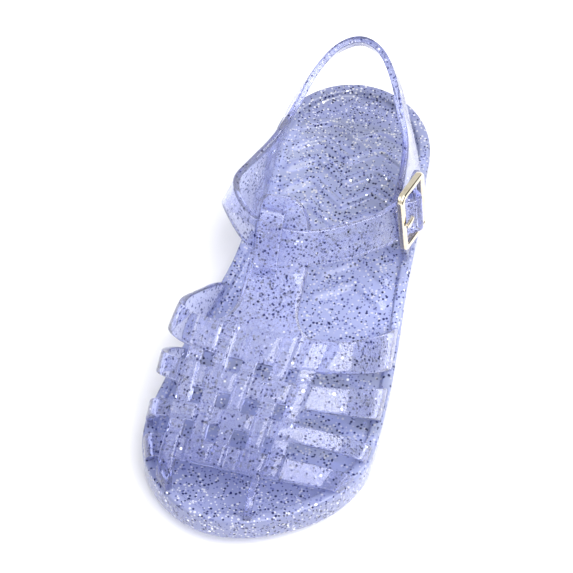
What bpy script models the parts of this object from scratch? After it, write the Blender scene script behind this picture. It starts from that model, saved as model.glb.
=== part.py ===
"""A child's moulded jelly sandal for the left foot: sole, woven upper with ankle strap, and buckle.

The toe points to -Y, the lateral (buckle) side is +X and +Z is up. All sizes below are in
millimetres. "Along" is a distance from the back of the heel towards the toe.
"""

import bpy
import numpy as np

MM = 0.001


def table(names, *rows):
    """Turn rows of numbers under a line of column names into named columns."""
    return dict(zip(names.split(), np.array(rows, dtype=float).T))


# Sole: outline, heights and tread
SOLE_LENGTH = 158.0
HEEL_ROUND = 24.0
TOE_ROUND = 34.0
SOLE = table(
    "along centre half_width footbed underside",
    (0, 2.0, 23.0, 15.2, 0.7),
    (6, 2.1, 23.2, 15.2, 0.0),
    (25, 2.5, 23.7, 15.0, 0.0),
    (50, 4.2, 24.6, 13.6, 0.0),
    (68, 4.2, 25.6, 11.8, 4.0),
    (88, 3.4, 28.4, 9.6, 0.0),
    (107, 2.1, 31.1, 8.5, 0.0),
    (125, 0.9, 32.2, 8.2, 0.0),
    (140, -0.9, 31.7, 9.2, 1.0),
    (158, -3.6, 28.6, 11.5, 4.6),
)
RIM_HEIGHT = 1.6
RIM_OUTER_INSET = 0.5
RIM_INNER_INSET = 2.9
FOOTBED_INSET = 3.6
FOOTBED_CUP = 0.6
EDGE_CHAMFER = 1.2
HEEL_ANGLES = (6, 16, 27, 40, 52)
TOE_ANGLES = (70, 62, 54, 45, 36, 27, 18, 10, 4)
TREAD_PITCH = 8.4
TREAD_FIRST = 14.0
TREAD_COUNT = 15
GROOVE_WIDTH = 2.4
GROOVE_WALL = 0.6
GROOVE_DEPTH = 1.3
RIB_HEIGHT = 0.6
ARCH_SPAN = (52.0, 86.0)
RIB_SPAN = (10.0, 80.0)
TREAD = table(
    "across zigzag relief",
    (-0.86, 2.0, 0.0),
    (-0.46, -3.4, 1.0),
    (0.00, 3.4, 1.0),
    (0.46, -3.4, 1.0),
    (0.86, 2.0, 0.0),
)

# Upper: the last under the vamp, as sections from the instep to the toe
WALL = 2.2
SEAT_INSET = 1.7
SEAT_GAP = 0.3
SECTION_POWER = 2.4
VAMP = table(
    "along height ridge bulge_medial bulge_lateral",
    (70, 50.0, -9.5, 3.0, 0.0),
    (77.5, 38.3, -9.5, 3.0, 0.0),
    (80.0, 34.6, -9.5, 3.0, 0.0),
    (85.6, 26.8, -9.5, 3.0, 0.0),
    (90, 23.8, -9.5, 3.6, 0.0),
    (95, 22.3, -9.5, 4.4, 0.0),
    (100, 21.2, -9.5, 4.5, 0.0),
    (110, 19.7, -9.5, 3.0, 0.2),
    (120, 17.3, -9.0, 1.3, 0.2),
    (130, 13.8, -8.5, -0.6, 0.2),
    (138, 9.8, -8.0, -0.6, 0.2),
    (146, 5.8, -7.0, -0.4, 0.0),
)
SECTION_TURNS = np.linspace(0.12, 0.98, 173)

# Upper: cross strips of the weave, with how far their ends sweep back
CROSS_STRIPS = table(
    "upper lower upper_lateral lower_lateral upper_medial lower_medial",
    (106.0, 115.3, 24.0, 19.0, 27.0, 23.0),
    (119.0, 125.2, 17.0, 11.5, 16.0, 13.0),
    (129.3, 134.0, 7.0, 6.0, 5.0, 3.0),
    (138.2, 144.6, 5.0, 5.0, 2.0, 2.0),
)
LONG_STRIPS = table(
    "back front width",
    (-19.7, -19.9, 4.3),
    (-12.0, -13.4, 4.2),
    (-3.4, -6.8, 4.0),
    (5.0, 1.8, 4.5),
    (12.4, 8.4, 4.3),
)
STRIP_EDGE = 0.5
WEAVE_RELIEF = 0.9
STRIP_COLUMNS = 4
AXIS_COLUMN = 1 + 2 * STRIP_COLUMNS
SIDE_CELLS = 5
TOE_BAR_ROWS = 4
TOE_BAR_STRIP = 0
TOE_BAR_GAP = 3
TOE_REACH_LEAST = 1.0

# Upper: T-bar and its keeper over the ankle strap
BAR_CENTRE = -3.6
BAR_HALF_WIDTH = 8.0
BAR_FLARE = 10.0
BAR_FILLET_ROWS = (0.05, 0.18, 0.42, 1.0)
BAR_ROWS = table(
    "along centre half_width",
    (90.0, -3.6, 8.0),
    (86.0, -3.6, 8.0),
    (83.0, -3.6, 8.0),
    (80.2, -3.9, 7.8),
    (77.8, -4.7, 7.1),
    (76.2, -5.2, 5.6),
)
KEEPER_CENTRE = -6.6
KEEPER_HALF_WIDTH = 3.4
KEEPER_WALL = 1.8
KEEPER = table(
    "along up",
    (90.6, 36.2),
    (90.4, 38.6),
    (89.4, 41.6),
    (86.8, 46.2),
    (84.2, 50.2),
    (81.8, 52.2),
    (79.4, 51.2),
    (78.6, 49.0),
)

# Upper: ankle strap, quarters and heel sling as one band, from the strap's tail round the foot
BAND = table(
    "top_x top_along top_z low_x low_along low_z seated",
    (26.4, 45.0, 38.6, 28.2, 48.4, 27.6, 0),
    (25.4, 56.6, 41.0, 26.8, 60.0, 30.4, 0),
    (21.8, 64.0, 42.2, 24.2, 67.4, 31.9, 0),
    (17.4, 68.8, 43.0, 20.2, 72.4, 33.2, 0),
    (5.4, 79.0, 46.2, 5.8, 84.4, 37.4, 0),
    (-7.6, 82.0, 48.6, -8.1, 87.0, 40.2, 0),
    (-16.6, 75.8, 47.4, -20.2, 76.2, 39.2, 0),
    (-21.6, 64.8, 43.6, -25.0, 66.6, 34.0, 0),
    (-19.8, 55.4, 41.4, -19.0, 59.0, 15.2, 1),
    (-16.0, 46.4, 41.0, -18.8, 46.0, 16.3, 1),
    (-13.8, 38.4, 41.0, -19.2, 36.0, 17.0, 1),
    (-12.0, 30.4, 41.2, -15.4, 28.6, 34.0, 0),
    (-9.8, 18.6, 42.2, -11.4, 17.4, 38.0, 0),
    (-5.6, 8.4, 42.6, -6.2, 6.4, 38.4, 0),
    (0.4, 4.4, 42.8, 0.4, 2.2, 38.6, 0),
    (6.9, 7.6, 42.6, 7.5, 5.8, 38.4, 0),
    (12.4, 16.0, 41.6, 14.0, 15.0, 37.4, 0),
    (16.9, 26.6, 40.2, 19.5, 25.6, 33.4, 0),
    (20.6, 35.4, 38.6, 25.4, 34.0, 17.1, 1),
    (22.2, 46.0, 36.8, 26.6, 47.0, 16.3, 1),
    (22.2, 56.5, 35.0, 27.4, 60.5, 15.3, 1),
)
BAND_WALL = 2.0
BAND_CELLS_PER_ROW = 3
BAND_CELLS_ACROSS = 4

# Buckle, centred on one row of the band
BUCKLE_ROW = 1
BUCKLE_RAISE = 0.5
BUCKLE_LENGTH = 15.0
BUCKLE_HEIGHT = 19.4
BUCKLE_BAR = 2.2
BUCKLE_DEPTH = 1.8
BUCKLE_CORNER = 1.8
BUCKLE_GAP = 0.35
PRONG_WIDTH = 1.8
PRONG_DEPTH = 1.0
PRONG_FROM = 2.8
PRONG_TO = 7.3
PRONG_DIP = 0.3
PRONG_STEPS = 6

# Upper: the strap bulges outwards through the buckle's frame
BULGE_HEIGHT = 4.2
BULGE_HALF_LENGTH = 4.9
BULGE_CENTRE = -0.5
BULGE_LINES = np.linspace(0.5, 1.6, 17)
STRAP_ROWS = 3

# Sections of the buckle's frame and prong, and shading
CORNER_STEPS = 4
SECTION_SIDES = 8
SECTION_FLATNESS = 0.6
SHARP_ANGLE = 35.0

COLOURS = {
    "sole": ((0.36, 0.40, 0.68, 1.0), 0.25, 0.0),
    "upper": ((0.40, 0.44, 0.72, 1.0), 0.2, 0.0),
    "buckle_frame": ((0.72, 0.62, 0.45, 1.0), 0.25, 1.0),
    "buckle_prong": ((0.66, 0.57, 0.42, 1.0), 0.3, 1.0),
}


# Curves through tables

def through(knots, values, at):
    """Smooth curve through the knots that never overshoots them (monotone cubic)."""
    knots = np.asarray(knots, dtype=float)
    values = np.asarray(values, dtype=float)
    steps = np.diff(knots)
    slopes = np.diff(values) / steps
    before, after = slopes[:-1], slopes[1:]
    same_way = before * after > 0
    safe = np.where(same_way, before + after, 1.0)
    inner = np.where(same_way, 2.0 * before * after / safe, 0.0)
    tangents = np.concatenate([slopes[:1], inner, slopes[-1:]])
    at = np.clip(np.asarray(at, dtype=float), knots[0], knots[-1])
    cell = np.clip(np.searchsorted(knots, at, side="right") - 1, 0, len(steps) - 1)
    step = steps[cell]
    s = (at - knots[cell]) / step
    return (
        values[cell] * (1 + 2 * s) * (1 - s) ** 2
        + values[cell + 1] * s ** 2 * (3 - 2 * s)
        + step * (tangents[cell] * s * (1 - s) ** 2 - tangents[cell + 1] * s ** 2 * (1 - s))
    )


def rounded(values, at):
    """Rounder curve through values one step apart (Catmull-Rom), for paths in space."""
    tangents = np.gradient(values)
    cell = np.clip(np.floor(at).astype(int), 0, len(values) - 2)
    s = at - cell
    return (
        values[cell] * (1 + 2 * s) * (1 - s) ** 2
        + values[cell + 1] * s ** 2 * (3 - 2 * s)
        + tangents[cell] * s * (1 - s) ** 2
        - tangents[cell + 1] * s ** 2 * (1 - s)
    )


def sole_value(name, along):
    """One column of the sole table, read as a smooth curve."""
    return through(SOLE["along"], SOLE[name], along)


def vamp_value(name, along):
    """One column of the vamp table, read as a smooth curve."""
    return through(VAMP["along"], VAMP[name], along)


# Meshes

def place(points):
    """Turn (across, along, up) in millimetres into world metres, with the toe at -Y."""
    points = np.asarray(points, dtype=float)
    world = np.stack([points[..., 0], SOLE_LENGTH / 2 - points[..., 1], points[..., 2]], axis=-1)
    return world * MM


def new_object(name, points, faces):
    """Make a closed mesh object whose faces look outwards."""
    used = np.unique(np.concatenate([np.ravel(face) for face in faces]))
    number = np.zeros(len(points), dtype=int)
    number[used] = np.arange(len(used))
    mesh = bpy.data.meshes.new(name)
    mesh.from_pydata(points[used].tolist(), [], [number[np.asarray(face)].tolist() for face in faces])
    item = bpy.data.objects.new(name, mesh)
    bpy.context.collection.objects.link(item)
    corners = np.array([[mesh.vertices[i].co for i in t.vertices] for t in triangles(mesh)])
    volume = np.einsum("ij,ij->i", corners[:, 0], np.cross(corners[:, 1], corners[:, 2])).sum()
    if volume < 0:
        mesh.flip_normals()
    return item


def triangles(mesh):
    """The triangles that a mesh is drawn with."""
    mesh.calc_loop_triangles()
    return mesh.loop_triangles


def wall_faces(keep):
    """Faces of a wall on a grid: kept cells outside and inside, and a rim where they end.

    The outer points come first and the inner points follow in the same order.
    """
    number = np.arange((keep.shape[0] + 1) * (keep.shape[1] + 1)).reshape(keep.shape[0] + 1, -1)
    a, b, c, d = number[:-1, :-1], number[:-1, 1:], number[1:, 1:], number[1:, :-1]
    outside = np.stack([a, b, c, d], axis=-1)[keep]
    around = np.pad(keep, 1)
    sides = (
        (a, b, around[:-2, 1:-1]),
        (b, c, around[1:-1, 2:]),
        (c, d, around[2:, 1:-1]),
        (d, a, around[1:-1, :-2]),
    )
    faces = [outside, outside[:, ::-1] + number.size]
    for first, second, beyond in sides:
        edge = keep & ~beyond
        rim = [second[edge], first[edge], first[edge] + number.size, second[edge] + number.size]
        faces.append(np.stack(rim, axis=-1))
    return np.concatenate(faces)


def grid_normals(points):
    """Unit normals of a grid of points, from its neighbours on both sides."""
    down = np.gradient(points, axis=0)
    across = np.gradient(points, axis=1)
    normals = np.cross(across, down)
    return normals / np.linalg.norm(normals, axis=-1, keepdims=True)


def wall_object(name, middle, lift, sink, keep):
    """A wall on a grid of middle points: its outside is lifted and its inside sunk along the normals.

    No point goes lower than the seat on the sole's rim.
    """
    normals = grid_normals(middle)
    outer = middle + normals * lift[..., None]
    inner = middle - normals * sink[..., None]
    points = np.concatenate([outer.reshape(-1, 3), inner.reshape(-1, 3)])
    points[:, 2] = np.maximum(points[:, 2], seat_height(points[:, 1]))
    return new_object(name, place(points), list(wall_faces(keep)))


# Sole

def end_round(along):
    """How far the outline has opened at a place: 0 at heel and toe tips, 1 between (two ellipses)."""
    heel = np.clip(1.0 - along / HEEL_ROUND, 0.0, 1.0)
    toe = np.clip(1.0 - (SOLE_LENGTH - along) / TOE_ROUND, 0.0, 1.0)
    return np.sqrt(1.0 - heel ** 2) * np.sqrt(1.0 - toe ** 2)


def sole_edge(along, side, inset):
    """Point of the sole's outline, moved inwards by an inset; side is -1 medial, 1 lateral."""
    half = (sole_value("half_width", along) - inset) * end_round(along)
    across = sole_value("centre", along) + side * half
    moved = inset + along * (SOLE_LENGTH - 2 * inset) / SOLE_LENGTH
    return across, moved


def rim_top(along):
    """Height of the rim that the upper stands on."""
    return sole_value("footbed", along) + FOOTBED_CUP + RIM_HEIGHT


def seat_height(along):
    """Height the upper stands at: just above the higher edge of the rim at this place."""
    insets = (RIM_OUTER_INSET, RIM_INNER_INSET)
    outer, inner = [rim_top((along - inset) / (1.0 - 2.0 * inset / SOLE_LENGTH)) for inset in insets]
    return np.maximum(outer, inner) + SEAT_GAP


def tread_stations():
    """Places along the sole: close together at the round ends, four at each groove."""
    heel = HEEL_ROUND * (1 - np.cos(np.radians(HEEL_ANGLES)))
    toe = SOLE_LENGTH - TOE_ROUND * (1 - np.cos(np.radians(TOE_ANGLES)))
    middles = TREAD_FIRST + TREAD_PITCH * np.arange(TREAD_COUNT)
    half = GROOVE_WIDTH / 2
    offsets = np.array([-half - GROOVE_WALL, -half, half, half + GROOVE_WALL])
    grooves = (middles[:, None] + offsets).ravel()
    deep = np.tile([0.0, 1.0, 1.0, 0.0], TREAD_COUNT)
    along = np.concatenate([heel, grooves, toe])
    cut = np.concatenate([np.zeros(len(heel)), deep, np.zeros(len(toe))])
    return along, cut


def build_sole():
    """Skin the sole over its sections: tread, chamfered side, raised rim and footbed."""
    along, cut = tread_stations()
    under = sole_value("underside", along)
    bed = sole_value("footbed", along)
    rim = rim_top(along)
    in_arch = (along > ARCH_SPAN[0]) & (along < ARCH_SPAN[1])
    groove = np.where(in_arch, 0.0, GROOVE_DEPTH * cut)
    rib = np.where((along > RIB_SPAN[0]) & (along < RIB_SPAN[1]), RIB_HEIGHT * cut, 0.0)
    calm = np.clip(np.minimum(along, SOLE_LENGTH - along) / HEEL_ROUND, 0.0, 1.0)

    def edge(side, inset, up):
        across, moved = sole_edge(along, side, inset)
        return np.stack([across, moved, up], axis=-1)

    def inner(row, surface, relief):
        across, moved = sole_edge(along, TREAD["across"][row], FOOTBED_INSET)
        moved = moved + TREAD["zigzag"][row] * calm
        return np.stack([across, moved, sole_value(surface, moved) + relief], axis=-1)

    def side_points(side):
        return [
            edge(side, EDGE_CHAMFER, under + groove),
            edge(side, 0.0, under + np.maximum(groove, EDGE_CHAMFER)),
            edge(side, 0.0, rim - RIM_OUTER_INSET),
            edge(side, RIM_OUTER_INSET, rim),
            edge(side, RIM_INNER_INSET, rim),
            edge(side, FOOTBED_INSET, bed + FOOTBED_CUP),
        ]

    rows = range(len(TREAD["across"]))
    tread = [inner(row, "underside", groove) for row in rows]
    cup = FOOTBED_CUP * TREAD["across"] ** 2
    footbed = [inner(row, "footbed", cup[row] + rib * TREAD["relief"][row]) for row in reversed(rows)]
    lateral, medial = side_points(1), side_points(-1)
    points = np.stack(tread + lateral + footbed + medial[::-1], axis=1)
    stations, count = points.shape[:2]
    number = np.arange(stations * count).reshape(stations, count)
    turned = np.roll(number, -1, axis=1)
    faces = list(np.stack([number[:-1], turned[:-1], turned[1:], number[1:]], axis=-1).reshape(-1, 4))
    faces += [face[::-1] for face in sole_end(number[0], len(tread), len(lateral))]
    faces += sole_end(number[-1], len(tread), len(lateral))
    return new_object("sole", place(points.reshape(-1, 3)), faces)


def sole_end(loop, tread, sides):
    """Close a tip of the sole: each ring of the side is carried across it, then both flats are filled."""
    under, lateral, over, medial = np.split(loop, np.cumsum([tread, sides, tread]))
    medial = medial[::-1]
    faces = list(np.stack([lateral[:-1], lateral[1:], medial[1:], medial[:-1]], axis=-1))
    faces.append(np.array([medial[0], *under, lateral[0]]))
    faces.append(np.array([lateral[-1], *over, medial[-1]]))
    return faces


# Upper: vamp cage and T-bar

def vamp_section(along, turn):
    """Point of the last's section: turn runs from 0 at the medial seat to 1 at the lateral seat.

    The section is a superellipse between the two seats. Its ridge is moved to the medial side and
    each wall bulges outwards.
    """
    left = sole_edge(along, -1, SEAT_INSET)[0]
    right = sole_edge(along, 1, SEAT_INSET)[0]
    angle = np.pi * np.clip(turn, 0.0, 1.0)
    power = 2.0 / SECTION_POWER
    out = -np.sign(np.cos(angle)) * np.abs(np.cos(angle)) ** power
    rise = np.abs(np.sin(angle)) ** power
    swell = np.sin(2 * angle)
    across = (left + right) / 2 + (right - left) / 2 * out
    across = across + vamp_value("ridge", along) * rise ** 2
    across = across - vamp_value("bulge_medial", along) * np.maximum(swell, 0.0)
    across = across + vamp_value("bulge_lateral", along) * np.maximum(-swell, 0.0)
    up = seat_height(along) + vamp_value("height", along) * rise
    return across, up


def turn_at(along, across):
    """The turn at which the section passes a given place across, on the foot's upper side."""
    found = np.empty(len(along))
    for i, (place_along, place_across) in enumerate(zip(along, across)):
        found[i] = np.interp(place_across, vamp_section(place_along, SECTION_TURNS)[0], SECTION_TURNS)
    return found


def strip_lines():
    """Column lines of the weave: for each long strip its two edges, each with a line just inside."""
    half = LONG_STRIPS["width"] / 2
    offsets = np.stack([-half, STRIP_EDGE - half, half - STRIP_EDGE, half], axis=-1)
    back = LONG_STRIPS["back"][:, None] + offsets
    front = LONG_STRIPS["front"][:, None] + offsets
    return back.ravel(), front.ravel()


def sweep_back(turn, axis, medial, lateral):
    """How far a cross strip has swept back at a turn: the square of its way to either seat."""
    to_lateral = np.clip((turn - axis) / (1.0 - axis), 0.0, 1.0)
    to_medial = np.clip((axis - turn) / axis, 0.0, 1.0)
    return lateral * to_lateral ** 2 + medial * to_medial ** 2


def weave_row(middle, medial, lateral):
    """One row line of the cage: its points across the whole last, swept back at both ends."""
    back, front = strip_lines()
    first, last = CROSS_STRIPS["upper"][0], CROSS_STRIPS["lower"][-1]
    share = (middle - first) / (last - first)
    across = back + (front - back) * share
    along = np.full(len(across), middle)
    for _ in range(3):
        turn = turn_at(along, across)
        axis = turn[AXIS_COLUMN]
        along = middle - sweep_back(turn, axis, medial, lateral)
    ways = np.arange(SIDE_CELLS) / SIDE_CELLS
    turn = np.concatenate([ways * turn[0], turn, 1.0 - ways[::-1] * (1.0 - turn[-1])])
    along = middle - sweep_back(turn, axis, medial, lateral)
    across, up = vamp_section(along, turn)
    return np.stack([across, along, up], axis=-1)


def bar_row(along, centre, half_width, columns):
    """One row line of the T-bar on the last's surface."""
    across = centre + half_width * np.linspace(-1.0, 1.0, columns)
    up = vamp_section(np.full(columns, along), turn_at(np.full(columns, along), across))[1]
    return np.stack([across, np.full(columns, along), up], axis=-1)


def toe_rows(last_row):
    """Row lines from the last cross strip down to the toe: quarter ellipses to the sole's rim."""
    across = last_row[:, 0]
    probe = np.linspace(SOLE_LENGTH - TOE_ROUND, SOLE_LENGTH, 69)
    left, along_left = sole_edge(probe, -1, SEAT_INSET)
    right, along_right = sole_edge(probe, 1, SEAT_INSET)
    end = np.minimum(
        np.interp(across, left, along_left),
        np.interp(-across, -right, along_right),
    )
    end = np.maximum(end, last_row[:, 1] + TOE_REACH_LEAST)
    seat = seat_height(end)
    ways = np.sin(np.linspace(0.0, np.pi / 2, TOE_BAR_ROWS + 1))[1:, None]
    along = last_row[:, 1] + (end - last_row[:, 1]) * ways
    up = seat + (last_row[:, 2] - seat) * np.sqrt(1.0 - ways ** 2)
    return np.stack([np.broadcast_to(across, along.shape), along, up], axis=-1)


def cage_rows():
    """Row lines of the weave, the cross strip that each belongs to, and which lie inside its edges."""
    rows, cross, inside = [], [], []
    for strip in range(len(CROSS_STRIPS["upper"])):
        line = {name: values[strip] for name, values in CROSS_STRIPS.items()}
        edge = STRIP_EDGE / (line["lower"] - line["upper"])
        for way in (0.0, edge, 1.0 - edge, 1.0):
            middle = line["upper"] + (line["lower"] - line["upper"]) * way
            medial = line["upper_medial"] + (line["lower_medial"] - line["upper_medial"]) * way
            lateral = line["upper_lateral"] + (line["lower_lateral"] - line["upper_lateral"]) * way
            rows.append(weave_row(middle, medial, lateral))
            cross.append(strip)
            inside.append(0.0 < way < 1.0)
    return np.stack(rows), np.array(cross), np.array(inside)


def bar_lines(root):
    """Row lines of the T-bar from its rounded top end down to its flared root on the first strip."""
    columns = len(root)
    lines = [bar_row(*row, columns) for row in zip(*BAR_ROWS.values())][::-1]
    for way in BAR_FILLET_ROWS[::-1]:
        flare = 1.0 - np.sqrt(1.0 - (1.0 - way) ** 2)
        start = CROSS_STRIPS["upper"][0] - BAR_FLARE * way
        narrow = bar_row(start, BAR_CENTRE, BAR_HALF_WIDTH, columns)
        across = narrow[:, 0] + (root[:, 0] - narrow[:, 0]) * flare
        along = narrow[:, 1] + (root[:, 1] - CROSS_STRIPS["upper"][0]) * (1.0 - way)
        up = vamp_section(along, turn_at(along, across))[1]
        lines.append(np.stack([across, along, up], axis=-1))
    return np.stack(lines)


def build_cage():
    """The vamp as one wall: four cross strips over and under five long strips, T-bar and toe bars."""
    strips = len(LONG_STRIPS["width"])
    columns = 2 * SIDE_CELLS + STRIP_COLUMNS * strips
    strip = np.full(columns, -1)
    strip[SIDE_CELLS:-SIDE_CELLS] = np.repeat(np.arange(strips), STRIP_COLUMNS)
    inside = np.zeros(columns, dtype=bool)
    inside[SIDE_CELLS:-SIDE_CELLS] = np.tile([False, True, True, False], strips)

    rows, cross, row_inside = cage_rows()
    long_over = (cross[:, None] + strip[None, :]) % 2 == 1
    raised = (strip >= 0) & np.where(long_over, inside[None, :], row_inside[:, None])
    on_long = (strip[:-1] == strip[1:]) & (strip[:-1] >= 0)
    on_cross = cross[:-1] == cross[1:]
    weave_keep = on_cross[:, None] | on_long[None, :]

    toe = toe_rows(rows[-1])
    toe_keep = np.zeros((TOE_BAR_ROWS, columns - 1), dtype=bool)
    first = SIDE_CELLS + STRIP_COLUMNS * TOE_BAR_STRIP
    toe_keep[:, first:first + STRIP_COLUMNS - 1] = True
    toe_keep[:, SIDE_CELLS + STRIP_COLUMNS * (TOE_BAR_GAP + 1) - 1] = True

    first, last = SIDE_CELLS + STRIP_COLUMNS - 1, columns - SIDE_CELLS - STRIP_COLUMNS
    lines = bar_lines(rows[0][first:last + 1])
    bar = np.tile(rows[0], (len(lines), 1, 1))
    bar[:, :, 1] -= BAR_FLARE * np.arange(len(lines), 0, -1)[:, None]
    bar[:, first:last + 1] = lines
    bar_keep = np.zeros((len(lines), columns - 1), dtype=bool)
    bar_keep[:, first:last] = True

    middle = np.concatenate([bar, rows, toe])
    lift = np.full(middle.shape[:2], WALL / 2)
    lift[len(bar):len(bar) + len(rows)] += np.where(raised, WEAVE_RELIEF, 0.0)
    sink = np.full(middle.shape[:2], WALL / 2)
    return wall_object("upper", middle, lift, sink, np.concatenate([bar_keep, weave_keep, toe_keep]))


# Upper: keeper, ankle strap, quarters and heel sling

def build_keeper():
    """The bridge of the T-bar that holds the ankle strap down: a short band over the strap."""
    knots = np.arange(len(KEEPER["along"]))
    at = np.linspace(0, knots[-1], 2 * knots[-1] + 1)
    along, up = rounded(KEEPER["along"], at), rounded(KEEPER["up"], at)
    across = KEEPER_CENTRE + KEEPER_HALF_WIDTH * np.array([-1.0, 0.0, 1.0])
    middle = np.stack(np.broadcast_arrays(across[None, :], along[:, None], up[:, None]), axis=-1)
    half = np.full(middle.shape[:2], KEEPER_WALL / 2)
    keep = np.ones((middle.shape[0] - 1, middle.shape[1] - 1), dtype=bool)
    return wall_object("keeper", middle, half, half, keep)


def band_points(at, cells_across):
    """Middle points of the band: curves through its top and low edges, ruled between.

    Where the table says so, the low edge stands on the sole's rim.
    """
    knots = np.arange(len(BAND["seated"]))
    top = np.stack([rounded(BAND[name], at) for name in ("top_x", "top_along", "top_z")], axis=-1)
    low = np.stack([through(knots, BAND[name], at) for name in ("low_x", "low_along", "low_z")], axis=-1)
    seated = np.interp(at, knots, BAND["seated"]) == 1.0
    side = np.sign(low[:, 0])
    across, along = sole_edge(low[:, 1], side, SEAT_INSET)
    rim = np.stack([across, along, seat_height(along)], axis=-1)
    low = np.where(seated[:, None], rim, low)
    ways = np.linspace(0.0, 1.0, cells_across + 1)[None, :, None]
    return top[:, None] + (low - top)[:, None] * ways


def build_band():
    """The ankle strap, medial quarter, heel sling and lateral quarter as one wall.

    Inside the buckle's frame the strap bulges outwards.
    """
    last = len(BAND["seated"]) - 1
    at = np.union1d(np.linspace(0, last, BAND_CELLS_PER_ROW * last + 1), BULGE_LINES)
    middle = band_points(at, BAND_CELLS_ACROSS)
    centre, along, _, out = buckle_frame_axes()
    way = ((middle - centre) @ along - BULGE_CENTRE) / BULGE_HALF_LENGTH
    bulge = BULGE_HEIGHT * np.cos(np.clip(way, -1.0, 1.0) * np.pi / 2) ** 2
    bulge[at > STRAP_ROWS] = 0.0
    middle = middle + bulge[..., None] * out
    half = np.full(middle.shape[:2], BAND_WALL / 2)
    keep = np.ones((middle.shape[0] - 1, middle.shape[1] - 1), dtype=bool)
    return wall_object("band", middle, half, half, keep)


# Buckle

def buckle_frame_axes():
    """Centre of the buckle in the strap's wall, and its directions along, down and outwards."""
    before, row, after = band_points(BUCKLE_ROW + np.array([-1.0, 0.0, 1.0]), 2)
    along = after[1] - before[1]
    along = along / np.linalg.norm(along)
    down = row[2] - row[0]
    down = down - along * (down @ along)
    down = down / np.linalg.norm(down)
    out = np.cross(along, down)
    out = out * np.sign(out[0])
    return row[1] - down * BUCKLE_RAISE, along, down, out


def swept(name, path, sideways, upward, width, depth, closed):
    """Carry a flattened round section along a path; sideways and upward span the section."""
    angle = 2 * np.pi * (np.arange(SECTION_SIDES) + 0.5) / SECTION_SIDES
    across = np.sign(np.cos(angle)) * np.abs(np.cos(angle)) ** SECTION_FLATNESS * width / 2
    up = np.sign(np.sin(angle)) * np.abs(np.sin(angle)) ** SECTION_FLATNESS * depth / 2
    points = path[:, None] + sideways[:, None] * across[None, :, None] + upward * up[None, :, None]
    number = np.arange(points.shape[0] * SECTION_SIDES).reshape(-1, SECTION_SIDES)
    turned = np.roll(number, -1, axis=1)
    after = np.roll(number, -1, axis=0)
    after_turned = np.roll(turned, -1, axis=0)
    skin = np.stack([number, turned, after_turned, after], axis=-1)
    if closed:
        faces = list(skin.reshape(-1, 4))
    else:
        faces = list(skin[:-1].reshape(-1, 4)) + [number[0][::-1], number[-1]]
    return new_object(name, place(points.reshape(-1, 3)), faces)


def build_buckle():
    """A frame with rounded corners on the strap, and the prong's end, from the bulge to its front bar."""
    centre, along, down, out = buckle_frame_axes()
    lifted = centre + out * (BAND_WALL / 2 + BUCKLE_GAP + BUCKLE_DEPTH / 2)
    quarter = np.linspace(0.0, np.pi / 2, CORNER_STEPS + 1)
    half_length = (BUCKLE_LENGTH - BUCKLE_BAR) / 2 - BUCKLE_CORNER
    half_height = (BUCKLE_HEIGHT - BUCKLE_BAR) / 2 - BUCKLE_CORNER
    path, sideways = [], []
    for corner, (right, top) in enumerate(((1, 1), (-1, 1), (-1, -1), (1, -1))):
        for angle in quarter + corner * np.pi / 2:
            ray = along * np.cos(angle) + down * np.sin(angle)
            corner_centre = lifted + along * right * half_length + down * top * half_height
            path.append(corner_centre + ray * BUCKLE_CORNER)
            sideways.append(ray)
    frame = swept("buckle_frame", np.array(path), np.array(sideways), out, BUCKLE_BAR, BUCKLE_DEPTH, True)

    ways = np.linspace(0.0, 1.0, PRONG_STEPS + 1)[:, None]
    resting = BAND_WALL / 2 + 2 * BUCKLE_GAP + BUCKLE_DEPTH + PRONG_DEPTH / 2
    line = centre + along * (PRONG_FROM + (PRONG_TO - PRONG_FROM) * ways)
    line = line + out * (resting - PRONG_DIP * (1.0 - ways) ** 2)
    across = np.broadcast_to(down, line.shape)
    prong = swept("buckle_prong", line, across, out, PRONG_WIDTH, PRONG_DEPTH, False)
    return frame, prong


def union(target, others):
    """Join closed solids into the target and remove them."""
    for other in others:
        modifier = target.modifiers.new("join", "BOOLEAN")
        modifier.operation = "UNION"
        modifier.solver = "EXACT"
        modifier.object = other
        evaluated = target.evaluated_get(bpy.context.evaluated_depsgraph_get())
        joined = bpy.data.meshes.new_from_object(evaluated)
        target.modifiers.clear()
        target.data = joined
        bpy.data.objects.remove(other)


def finish(item):
    """Give a piece its material and smooth shading."""
    colour, roughness, metallic = COLOURS[item.name]
    material = bpy.data.materials.new(item.name)
    material.use_nodes = True
    shader = material.node_tree.nodes["Principled BSDF"]
    shader.inputs["Base Color"].default_value = colour
    shader.inputs["Roughness"].default_value = roughness
    shader.inputs["Metallic"].default_value = metallic
    item.data.materials.clear()
    item.data.materials.append(material)
    item.data.shade_smooth()
    item.data.set_sharp_from_angle(angle=np.radians(SHARP_ANGLE))


def stand_on_floor(items):
    """Move the pieces so that the middle of their common box stands on the origin."""
    corners = np.concatenate([[vertex.co[:] for vertex in item.data.vertices] for item in items])
    low, high = corners.min(axis=0), corners.max(axis=0)
    shift = np.array([(low[0] + high[0]) / 2, (low[1] + high[1]) / 2, low[2]])
    for item in items:
        for vertex in item.data.vertices:
            vertex.co = np.array(vertex.co) - shift


def main():
    """Build every piece in an emptied scene."""
    for item in list(bpy.data.objects):
        bpy.data.objects.remove(item)
    sole = build_sole()
    upper = build_cage()
    union(upper, [build_band(), build_keeper()])
    frame, prong = build_buckle()
    pieces = [sole, upper, frame, prong]
    stand_on_floor(pieces)
    for item in pieces:
        finish(item)


main()
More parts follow.
